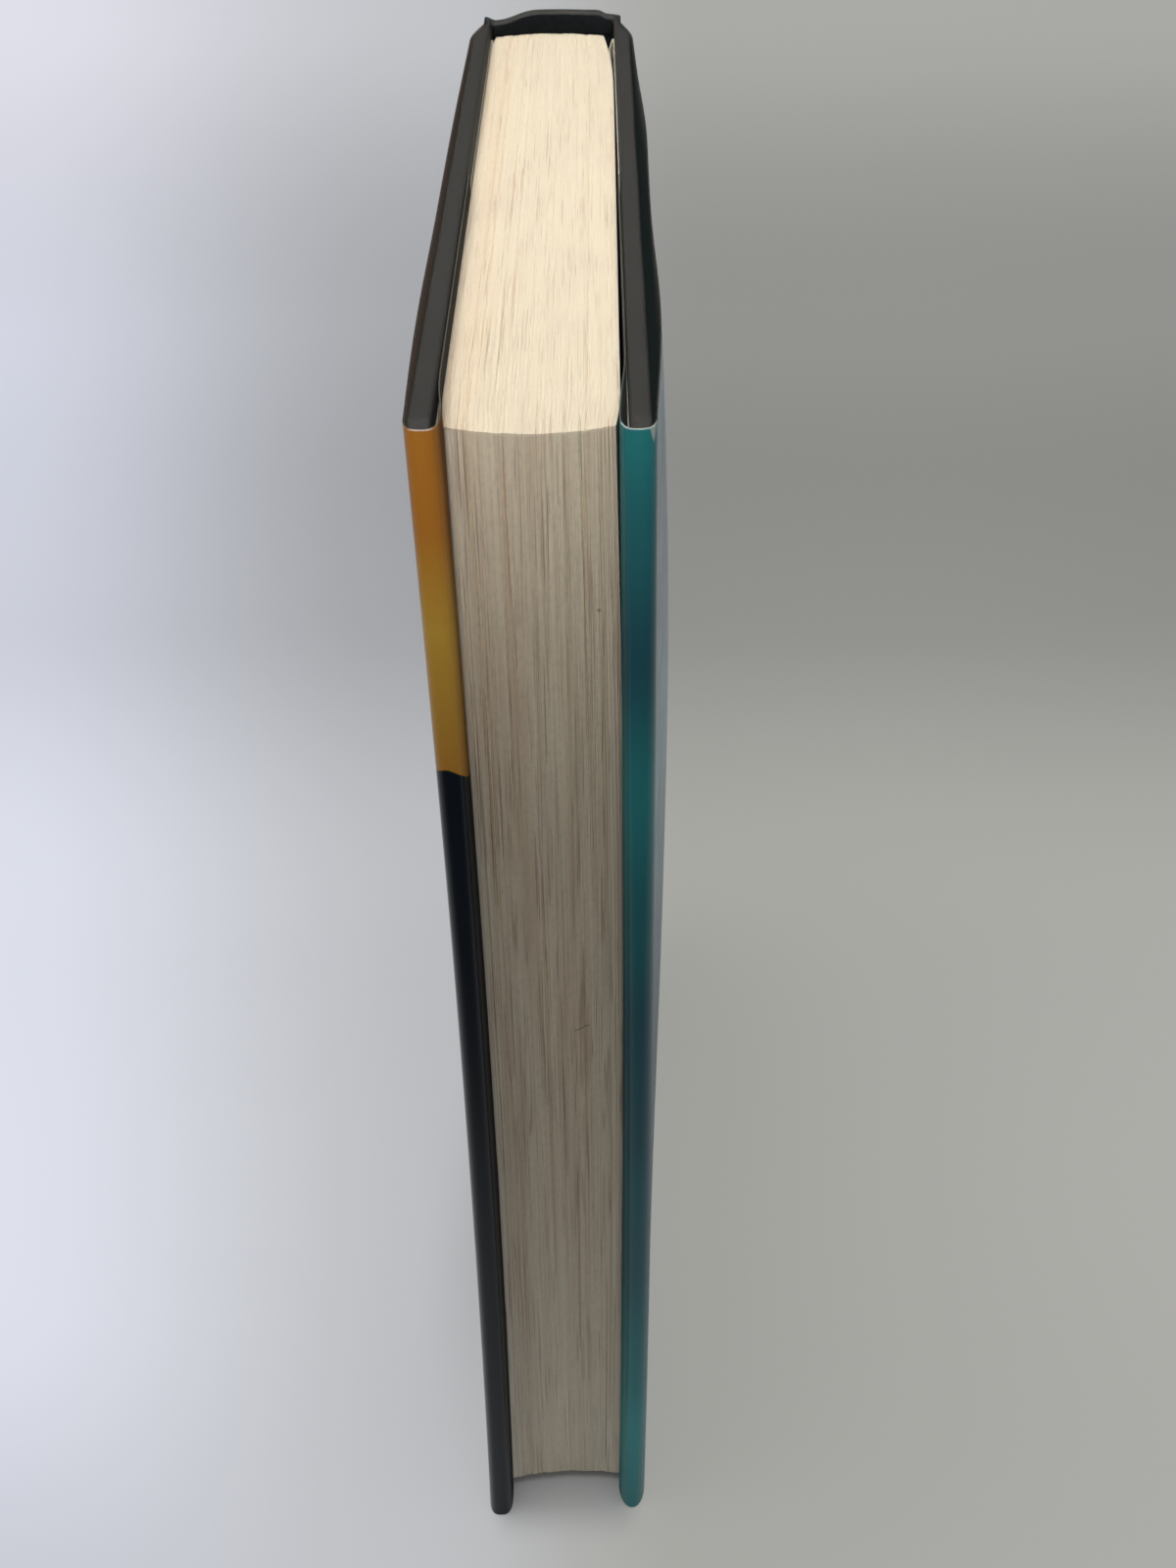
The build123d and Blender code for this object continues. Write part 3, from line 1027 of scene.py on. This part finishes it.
def band_piece(name, end, way, finish):
    """One band: a cord ribbed by its windings, and the skirt glued behind it."""
    # The cord is drawn tall, so that its black is both the band and painted shade inside the cap
    # above it
    cord = Vector((0.5 * MM, 1.52 * MM))
    half = asin((half_block + 0.25 * MM) / (back_radius + gauze))
    middle = Vector((back_radius + glue + gauze - cord.x, end + way * cord.y))
    skirt = turn_in - square - 0.4 * MM
    first = Matrix.Rotation(pi / 2 - half, 4, "Z")
    upright = Matrix.Rotation(pi / 2, 4, "X")
    cord_fit = Matrix.Translation((middle.x, 0, middle.y)) @ upright
    cord_fit = first @ cord_fit @ Matrix.Diagonal((*cord, 1.0, 1.0))
    skirt_fit = Matrix.Translation((back_radius + glue + gauze / 2, 0, end - way * skirt / 2))
    skirt_fit = first @ skirt_fit @ upright @ Matrix.Diagonal((gauze, skirt, 1.0, 1.0))
    bm = bmesh.new()
    bmesh.ops.create_circle(bm, segments=16, radius=1.0, cap_ends=True, matrix=cord_fit)
    bmesh.ops.create_grid(bm, x_segments=1, y_segments=1, size=0.5, matrix=skirt_fit)
    geom = bm.verts[:] + bm.edges[:] + bm.faces[:]
    bmesh.ops.spin(bm, geom=geom, cent=(0, 0, 0), axis=(0, 0, 1), angle=2 * half, steps=132)
    bmesh.ops.remove_doubles(bm, verts=bm.verts, dist=1e-6)
    for vert in bm.verts:
        wind(vert, half, middle, cord)
        vert.co += Vector((middle_x, fore_y + back_centre, 0))
        vert.co += pressed(vert.co) * eased((vert.co.z - page_head) / (2 * cord.y))
    bmesh.ops.recalc_face_normals(bm, faces=bm.faces)
    return new_piece(name, bm, [finish])


def wind(vert, half, middle, cord):
    """Draws the cord in between its windings."""
    windings, drawn = 42, 0.18
    swing = atan2(vert.co.y, vert.co.x) - (pi / 2 - half)
    radius = vert.co.xy.length
    across, up = (radius - middle.x) / cord.x, (vert.co.z - middle.y) / cord.y
    if across * across + up * up > 1.01:
        return
    rib = abs(sin(windings * pi * swing / (2 * half)))
    swell = 1 - drawn * (1 - rib) + 0.05 * noise.noise(vert.co * 2500)
    vert.co.xy *= (middle.x + across * cord.x * swell) / radius
    vert.co.z = middle.y + up * cord.y * swell


class BOOK_OT_bands(bpy.types.Operator):
    """The headband and the tailband: corded beads on a flat skirt"""

    bl_idname = "book.bands"
    bl_label = "Bands"

    def execute(self, context):
        finish = band_finish(context.scene.book_case)
        for name, end, way in (("headband", page_head, 1), ("tailband", page_foot, -1)):
            stands_for(band_piece(name + "_threads", end, way, finish), name)
        return {"FINISHED"}


# Case


def pressed(point):
    """How far the head of the spine is bumped out of true: down at its front corner."""
    # Across the spine, in millimetres: the dent, the cap that rises beside it, and a swelling
    x = (point.x - middle_x) / MM
    dent_x, cap_run = -10.4, 22 * MM
    near_head = eased((point.z - (book_height - cap_run)) / cap_run)
    dent_reach = 8.8 if x > dent_x else 2.6
    dent = 0.95 * eased(1 - abs(x - dent_x) / dent_reach) ** 1.4
    rise = 0.45 * eased((x + 9) / 5) * eased((9.9 - x) / 1.5)
    swell = 0.4 * eased(1 - abs(x - 8.2) / 2.5)
    return Vector((0.0, swell, rise - dent)) * near_head**2 * MM


def spine_row(plan, z):
    """A sheet's points on the spine at one height, bumped like its head."""
    points = [in_frame(*point, z) for point in plan]
    return [point + pressed(point) for point in points]


def spine_plan(arc, side, corner):
    """A layer of the spine in plan, from the back cover's hinge line to the front's."""
    radius = back_radius + arc
    half = asin(side / radius)
    bends = spaced(half, -half, 26)
    ring = [Vector((radius * sin(b), back_centre + radius * cos(b))) for b in bends]
    turn = (ring[1] - ring[0]).angle(Vector((0, 1)))
    bend_y = ring[0].y - corner * tan(turn / 2)
    start = [Vector((side, y)) for y in spaced(split_y, bend_y, 6)[:-1]]
    for swing in spaced(0.0, turn, 5):
        start.append(Vector((side - corner * (1 - cos(swing)), bend_y + corner * sin(swing))))
    return start + ring[1:-1] + [Vector((-point.x, point.y)) for point in reversed(start)]


def cover_cloth(name, side, settings, finish):
    """The cloth round one board and down the joint, open inside and at the hinge."""
    bm = block(Vector((turn_x, -fore_square, 0.0)), Vector((case_x, split_y, book_height)))
    open_end = split_y - border
    wrapped = [e for e in bm.edges if not all(v.co.y > open_end for v in e.verts)]
    rounding = {"offset": settings.corner_round, "segments": 5, "profile": 0.5}
    bmesh.ops.bevel(bm, geom=wrapped, affect="EDGES", material=-1, **rounding)
    edge = spaced(0.9 * MM - fore_square, 3.0 * MM - fore_square, 5)
    flat = spaced(0.0, board_end - 6 * MM, 16)
    joint = spaced(board_end - 2 * MM, split_y - 0.4 * MM, 26)
    cut_across(bm, 1, [*edge, *flat, *joint, turn_in - fore_square])
    cut_across(bm, 2, spaced(6 * MM, book_height - 6 * MM, 28))
    cut_across(bm, 2, [turn_in, book_height - turn_in])
    cut_across(bm, 0, spaced(turn_x, case_x, 6)[1:-1])
    bmesh.ops.remove_doubles(bm, verts=bm.verts, dist=0.02 * MM)
    bm.normal_update()
    bmesh.ops.delete(bm, geom=[f for f in bm.faces if opened(f)], context="FACES")
    map_by_face(bm)
    half, corner_end, corner_nose = book_height / 2, 110 * MM, 2.6 * MM
    ripple, ripple_run = 0.07 * MM, 14 * MM
    for vert in bm.verts:
        share = (vert.co.x - turn_x) / (case_x - turn_x)
        skin = between(case_x, case_side, eased((vert.co.y - board_end) / joint_width))
        x = between(turn_x, skin, share) + noise.noise(vert.co / ripple_run) * ripple * share
        if side == FRONT:
            x += 0.2 * MM * share * lean(vert.co.y)
        corner = eased((corner_nose - fore_square - vert.co.y) / corner_nose) ** 2
        near_end = eased((abs(vert.co.z - half) - corner_end) / (7 * MM))
        sink = copysign(0.9 * MM * corner * near_end, vert.co.z - half)
        vert.co = on_cover(x, vert.co.y, vert.co.z - sink, side)
    if side == FRONT:
        bmesh.ops.reverse_faces(bm, faces=bm.faces)
    piece = new_piece(name, bm, [finish])
    thicken(piece, cloth, -1.0)
    return piece


def opened(face):
    """Whether a face is in the window on the board's inner side or at the hinge end."""
    centre = face.calc_center_median()
    if face.normal.y > 0.9 and centre.y > board_end:
        return True
    in_window = centre.y > turn_in - fore_square and turn_in < centre.z < book_height - turn_in
    return face.normal.x < -0.9 and in_window


def spine_card(finish):
    """The card strip inside the spine's cloth."""
    low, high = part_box("spine_strip")
    radius = back_radius + headcap_arc + cloth + strip_thickness / 2
    half = asin((high.x - low.x) / 2 / radius)
    plan = [(radius * sin(b), back_centre + radius * cos(b)) for b in spaced(half, -half, 24)]
    heights = spaced(low.z, high.z, 60)
    rows = [spine_row(plan, z) for z in heights]
    thickness = strip_thickness - 0.1 * MM
    return bent_sheet("spine_card_strip", rows, heights, [finish], True, thickness)


def spine_cloth(finish):
    """The cloth on the spine, from inside the tail over the strip to inside the head."""
    inner = spine_plan(headcap_arc, turn_x, 0.3 * MM)
    outer = spine_plan(case_arc, case_side, spine_corner)
    corner, high = 0.8 * MM, book_height
    turns = spaced(0.0, pi, 10)[1:-1]
    profile = [(0.0, z) for z in [turn_in, *spaced(turn_in - border, corner, 4)]]
    profile += [((1 - cos(t)) / 2, corner * (1 - sin(t))) for t in turns]
    profile += [(1.0, z) for z in spaced(corner, high - corner, 52)]
    profile += [((1 + cos(t)) / 2, high - corner * (1 - sin(t))) for t in turns]
    profile += [(0.0, z) for z in spaced(high - corner, high - turn_in + border, 6)]
    profile.append((0.0, high - turn_in))
    rows = []
    for share, z in profile:
        rows.append(spine_row([a.lerp(b, share) for a, b in zip(inner, outer)], z))
    us = lengths_along(outer)
    vs = lengths_along([row[len(row) // 2] for row in rows])
    piece = bent_sheet("spine_cloth", rows, vs, [finish], True, cloth, -1.0, us)
    return piece


class BOOK_OT_case(bpy.types.Operator):
    """The cloth of the case: a wrapped cover on each side and the turned spine"""

    bl_idname = "book.case"
    bl_label = "Case cloth"

    def execute(self, context):
        settings = context.scene.book_case
        finish = cloth_finish(settings)
        turned = case_x - turn_x + turn_in
        flat = (split_y + fore_square + turned, book_height + 2 * turned)
        for side, name in SIDES.items():
            piece = cover_cloth(name + "_cover_cloth", side, settings, finish)
            stands_for(piece, name + "_case", side)
        card = pulp_finish("spine_card", (0.42, 0.36, 0.27), (0.3, 0.25, 0.18), 700)
        stands_for(spine_card(card), "spine_strip")
        stands_for(spine_cloth(finish), "case_spine")
        return {"FINISHED"}


class BOOK_OT_boards(bpy.types.Operator):
    """The two boards inside the cloth"""

    bl_idname = "book.boards"
    bl_label = "Boards"

    def execute(self, context):
        grey = context.scene.book_case.board_grey
        finish = pulp_finish("grey_board", grey, 0.7 * grey, 500)
        low = Vector((board_x, cloth - fore_square, cloth))
        high = Vector((board_x + board_thickness, board_end, book_height - cloth))
        corner_cut, corner_from = 1.2 * MM, 116 * MM
        for side, name in SIDES.items():
            bm = block(low, high)
            cut_across(bm, 1, spaced(low.y, high.y, 12)[1:-1])
            cut_across(bm, 2, spaced(low.z, high.z, 20)[1:-1])
            for vert in bm.verts:
                at_edge = vert.co.y < low.y + 0.1 * MM
                near_end = abs(vert.co.z - book_height / 2) > corner_from
                vert.co.y += corner_cut * (at_edge and near_end)
                vert.co = on_cover(*vert.co, side)
            if side == FRONT:
                bmesh.ops.reverse_faces(bm, faces=bm.faces)
            piece = new_piece(name + "_board_card", bm, [finish], smooth=False)
            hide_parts(name + "_board")
            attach(piece, name + "_cover")
        return {"FINISHED"}


class BOOK_OT_gauze(bpy.types.Operator):
    """The wings of the gauze, glued between board and endpaper across the joint"""

    bl_idname = "book.gauze"
    bl_label = "Gauze wings"

    def execute(self, context):
        finish = gauze_finish()
        x = (turn_x + board_x) / 2
        ys = [split_y - border, *spaced(split_y - 0.5 * MM, board_end - gauze_wing, 44)]
        heights = bordered(turn_in, book_height - turn_in, 40)
        for side, name in SIDES.items():
            rows = [[on_cover(x, y, z, side) for y in ys] for z in heights]
            thickness = 0.9 * gauze
            wing = name + "_gauze_wing"
            piece = bent_sheet(wing, rows, heights, [finish], side == FRONT, thickness)
            stands_for(piece, name + "_mull_flap", side)
            flat = (lengths_along(rows[0])[-1], heights[-1] - heights[0])
        return {"FINISHED"}


# Jacket


def bulge_at(side, z):
    """How far a jacket panel stands off its board at a height."""
    tail, middle, head = bulges[side]
    share = z / book_height
    if share < bulge_z_share:
        return between(tail, middle, eased(share / bulge_z_share))
    return between(middle, head, ((share - bulge_z_share) / (1 - bulge_z_share)) ** 2)


def waved(side, y, z):
    """How much further a panel stands off at a place near its head edge."""
    near_head = eased((z / book_height - 0.6) / 0.4)
    waves = head_waves[side]
    return near_head * sum(far * eased(1 - abs(y - place) / reach) for far, place, reach in waves)


def swell_at(t):
    """The jacket's rise from a board's edge at 0 to its fullest at 1."""
    return 0.2 * eased(t) + 0.8 * sin(pi / 2 * min(1.0, 1.35 * t))


# Points of the jacket's plan: over the joint, the panel behind and before its fullest part,
# round the fold, along the start of the flap and along the rest of it
joint_points, rear_points, fore_points = 14, 22, 14
fold_points, lead_points, flap_points = 24, 10, 14
fold_middle = joint_points + rear_points + fore_points + fold_points // 2
flap_start = fold_middle + fold_points // 2


def jacket_plan(side, z):
    """A cover's side of the jacket in plan, from the hinge line round to the flap's end."""
    points = []
    ease = split_y - panel_end
    bulge = bulge_at(side, z)
    ends = zip(*folds[side])
    nose, centre, inner, roundness = (between(*pair, z / book_height) for pair in ends)
    for t in spaced(0.0, 1.0, joint_points)[:-1]:
        lean_out = 0.3 * ease * (t - 2 * t * t + t**3)
        x = between(jacket_side + jacket_paper, panel_x, eased(t)) + lean_out
        points.append((x, split_y - ease * t))
    panel = [(between(panel_end, bulge_y, t), t) for t in spaced(0.0, 1.0, rear_points)[:-1]]
    panel += [(between(bulge_y, centre, t), 1 - t) for t in spaced(0.0, 1.0, fore_points)[:-1]]
    for y, t in panel:
        points.append((panel_x + bulge * swell_at(t) + waved(side, y, z), y))
    half = (panel_x + waved(side, centre, z) - inner) / 2
    for swing in spaced(0.0, pi, fold_points):
        out = copysign(abs(cos(swing)) ** roundness, cos(swing))
        ahead = max(0.0, sin(swing)) ** roundness
        points.append((inner + half * (1 + out), centre + (nose - centre) * ahead))
    for t in spaced(0.0, 1.0, lead_points)[1:]:
        points.append((between(inner, flap_x, eased(t)), between(centre, flap_lead, t)))
    flap_end = nose + flap_width
    for y in [*spaced(flap_lead, flap_end - border, flap_points)[1:], flap_end]:
        points.append((flap_x, y))
    return [Vector(point) for point in points]


def clear_of_pages(point, side):
    """Moves a point of a flap off the free leaf next to it."""
    y = point.y - fore_y
    share = min(max((point.z - page_foot) / (page_head - page_foot), 0.0), 1.0)
    nearest = page_side(y, share) + leaf + side * sway(point.z) * lean(y) + glue
    if y > -1 * MM and side * (point.x - middle_x) < nearest:
        point.x = middle_x + side * nearest


class BOOK_OT_jacket(bpy.types.Operator):
    """The printed dust jacket: front, back and spine, with folds and flaps"""

    bl_idname = "book.jacket"
    bl_label = "Dust jacket"

    def execute(self, context):
        settings = context.scene.book_jacket
        papers = {side: reverse_finish(side) for side in SIDES}
        edges = {side: cut_edge_finish(side) for side in SIDES}
        prints = {FRONT: front_print_finish(settings), BACK: back_print_finish(settings)}
        heights = bordered(jacket_short, book_height - jacket_short, 64)
        for side, name in SIDES.items():
            us = lengths_along(jacket_plan(side, book_height))
            us = [u - us[fold_middle] for u in us]
            rows = [[on_cover(*point, z, side) for point in jacket_plan(side, z)] for z in heights]
            for row in rows:
                for point in row[flap_start:]:
                    clear_of_pages(point, side)
            sides = [prints[side], papers[side], edges[side]]
            sheet = name + "_jacket_sheet"
            piece = bent_sheet(sheet, rows, heights, sides, side == FRONT, jacket_paper, -1.0, us)
            stands_for(piece, name + "_jacket", side)
        plan = spine_plan(jacket_arc + jacket_paper, jacket_side + jacket_paper, spine_corner)
        rows = [spine_row(plan, z) for z in heights]
        far_from_folds = 100 * MM
        us = [u - far_from_folds for u in lengths_along(plan)]
        sides = [spine_print_finish(settings), papers[BACK], edges[FRONT]]
        sheet = "spine_jacket_sheet"
        piece = bent_sheet(sheet, rows, heights, sides, True, jacket_paper, -1.0, us)
        stands_for(piece, "jacket_spine")
        return {"FINISHED"}


# What stays hidden when the book is closed


class BOOK_OT_inner_parts(bpy.types.Operator):
    """The spine's gauze and lining paper, which keep their own meshes"""

    bl_idname = "book.inner_parts"
    bl_label = "Spine linings"

    def execute(self, context):
        kraft = pulp_finish("lining_paper", (0.40, 0.27, 0.15), (0.3, 0.19, 0.1), 900)
        finishes = {"spine_lining": kraft, "spine_mull": gauze_finish()}
        for name, finish in finishes.items():
            mesh = frame["nodes"][name].data
            mesh.materials.clear()
            mesh.materials.append(finish)
        radius = back_radius + glue + gauze / 2
        flat = (2 * radius * asin(half_block / radius), book_height - 2 * turn_in)
        return {"FINISHED"}


# Stage


def floor(settings):
    """A wide pale floor with painted shadow in front of and under the book. The camera sees it paler
    still, cooler left and greyer right, with painted shade near the book.
    """
    finish = Finish("floor")
    across, along, _ = finish.parts(finish.coordinates())
    beside = (across - middle_x).size().rise(10 * MM, 16 * MM)
    back_y = fore_y + page_width
    behind = along.rise(back_y, back_y + 30 * MM)
    # Painted shadow on the floor under the pages, between the covers
    under = (1 - beside) * along.rise(fore_y - 14 * MM, fore_y - 3 * MM) * (1 - behind)
    # In front of the book the lit floor is darker, a painted shadow that throws less light on the
    # fore-edge
    dark = 0.2 * settings.floor
    colour = finish.mix(along.rise(-0.245, -0.125), dark, settings.floor)
    finish.done(finish.mix(under * 0.14, colour, dark), 0.6, 0.2)
    # What the camera sees: a colour from left to right, and a grey from near to far, darker towards
    # the lower left, with painted shade in a band far off and beside the front cover
    away = along + 0.55
    column = across / away.math("MAXIMUM", away, 0.2)
    centre = column.rise(-0.25, -0.06)
    left = finish.mix(along.rise(0.35, 0.8), (0.92, 0.955, 1.09), (0.84, 0.84, 0.93))
    right = finish.mix(along.rise(0.12, 0.36), (0.445, 0.44, 0.395), (0.45, 0.453, 0.425))
    cast = finish.mix(centre, left, (0.62, 0.63, 0.66))
    cast = finish.mix(column.rise(-0.07, 0.05), cast, right)
    # The dip from 0.24 to 0.32 m behind the book is painted shade
    levels = [(0, 0.94), (0.1, 1), (0.19, 0.97), (0.34, 0.57), (0.42, 0.56), (0.58, 0.64), (1, 0.95)]
    greys = [(place, (level, level, level)) for place, level in levels]
    depth = Field(finish, finish.ramp(along + 0.1, greys, "EASE"))
    low_left = (1 - along.rise(-0.12, -0.03)) * (1 - centre)
    # Painted shadow on the floor beside the front cover
    painted_shadow_by_cover = across.near(middle_x - 19 * MM, 15 * MM) * along.near(-20 * MM, 60 * MM)
    level = depth ** (0.6 + 0.4 * centre) * (1 - 0.3 * low_left) * (1 - 0.14 * painted_shadow_by_cover)
    glow = finish.node("Emission", {"Color": finish.mix(1.0, cast, level, "MULTIPLY")})
    rays = finish.field("LightPath", ())
    share = rays * (0.62 + 0.28 * along.rise(0.05, 0.35)) * (1 - 0.92 * under)
    finish.seen_or_lit(share, finish.surface, glow, "Material Output")
    bm = bmesh.new()
    bmesh.ops.create_grid(bm, x_segments=8, y_segments=8, size=6.0)
    new_piece("floor", bm, [finish.material])


def lamp(name, size, energy, place, target, fan=pi):
    """A soft rectangular lamp at a place, turned towards a target."""
    light = bpy.data.lights.new(name, "AREA")
    light.shape = "RECTANGLE"
    light.size, light.size_y = size
    light.energy = energy
    light.spread = fan
    holder = bpy.data.objects.new(name, light)
    holder.location = place
    way = Vector(target) - Vector(place)
    holder.rotation_euler = way.to_track_quat("-Z", "Y").to_euler()
    bpy.context.scene.collection.objects.link(holder)


def lights(settings):
    """A large soft lamp overhead, two small ones in front and a little light all around."""
    lamp("overhead", (0.8, 0.6), settings.lamp, (-0.08, -0.09, 0.90), (0, 0, 0))
    lamp("low", (0.2, 0.3), settings.low_lamp, (0, -0.9, 0.22), (0, 0, 0.1))
    before, drop, dip = (-0.05, -0.45, 0.50), 0.20, radians(25)
    over_head = (0, before[1] + drop / tan(dip), before[2] - drop)
    lamp("front", (0.2, 0.04), settings.front_lamp, before, over_head, radians(32.6))
    world = bpy.data.worlds.new("room")
    room = Nodes(world)
    sky = room.tree.nodes["Background"]
    room.feed(sky.inputs["Color"], (0.80, 0.92, 1.1))
    room.feed(sky.inputs["Strength"], settings.sky)
    seen = room.node("Background", {"Color": (0.72, 0.73, 0.75)})
    rays = room.node("LightPath").outputs["Is Camera Ray"]
    room.seen_or_lit(rays, sky, seen, "World Output")
    bpy.context.scene.world = world


def camera(settings):
    """A camera in front of the fore-edge, high up and looking down on the head."""
    place = Vector((7.0 * MM, -276.1 * MM, 337.4 * MM))
    heading = Matrix.Rotation(radians(0.53), 4, "Z")
    tilt = Matrix.Rotation(radians(90 - 38.6), 4, "X")
    roll = Matrix.Rotation(radians(-0.73), 4, "Z")
    lens = bpy.data.cameras.new("camera")
    lens.lens = settings.lens
    lens.clip_start, lens.clip_end = 0.01, 30.0
    holder = bpy.data.objects.new("camera", lens)
    holder.matrix_world = Matrix.Translation(place) @ heading @ tilt @ roll
    bpy.context.scene.collection.objects.link(holder)
    bpy.context.scene.camera = holder


class BOOK_OT_stage(bpy.types.Operator):
    """The floor, the light and the camera"""

    bl_idname = "book.stage"
    bl_label = "Stage"

    def execute(self, context):
        settings = context.scene.book_stage
        floor(settings)
        lights(settings)
        camera(settings)
        context.scene.view_settings.view_transform = "Standard"
        return {"FINISHED"}


class BOOK_PT_panel(bpy.types.Panel):
    """Settings and steps of the book, in the sidebar"""

    bl_idname = "BOOK_PT_panel"
    bl_label = "Hardcover book"
    bl_space_type = "VIEW_3D"
    bl_region_type = "UI"
    bl_category = "Book"

    def draw(self, context):
        for operator in operators:
            self.layout.operator(operator.bl_idname)
        for name, group in settings_groups.items():
            box = self.layout.box()
            for key in group.__annotations__:
                box.prop(getattr(context.scene, name), key)


settings_groups = {
    "book_pages": BookPageSettings,
    "book_case": BookCaseSettings,
    "book_jacket": BookJacketSettings,
    "book_stage": BookStageSettings,
}
operators = [
    BOOK_OT_pages,
    BOOK_OT_endpapers,
    BOOK_OT_bands,
    BOOK_OT_case,
    BOOK_OT_boards,
    BOOK_OT_gauze,
    BOOK_OT_jacket,
    BOOK_OT_inner_parts,
    BOOK_OT_stage,
]


def register():
    for group in [*settings_groups.values(), *operators, BOOK_PT_panel]:
        bpy.utils.register_class(group)
    for name, group in settings_groups.items():
        setattr(bpy.types.Scene, name, PointerProperty(type=group))


def unregister():
    for name in settings_groups:
        delattr(bpy.types.Scene, name)
    for group in [BOOK_PT_panel, *reversed(operators), *settings_groups.values()]:
        bpy.utils.unregister_class(group)


def main():
    """Makes every piece and the stage."""
    register()
    bpy.ops.book.pages()
    bpy.ops.book.endpapers()
    bpy.ops.book.bands()
    bpy.ops.book.case()
    bpy.ops.book.boards()
    bpy.ops.book.gauze()
    bpy.ops.book.jacket()
    bpy.ops.book.inner_parts()
    bpy.ops.book.stage()


if __name__ == "__main__":
    main()
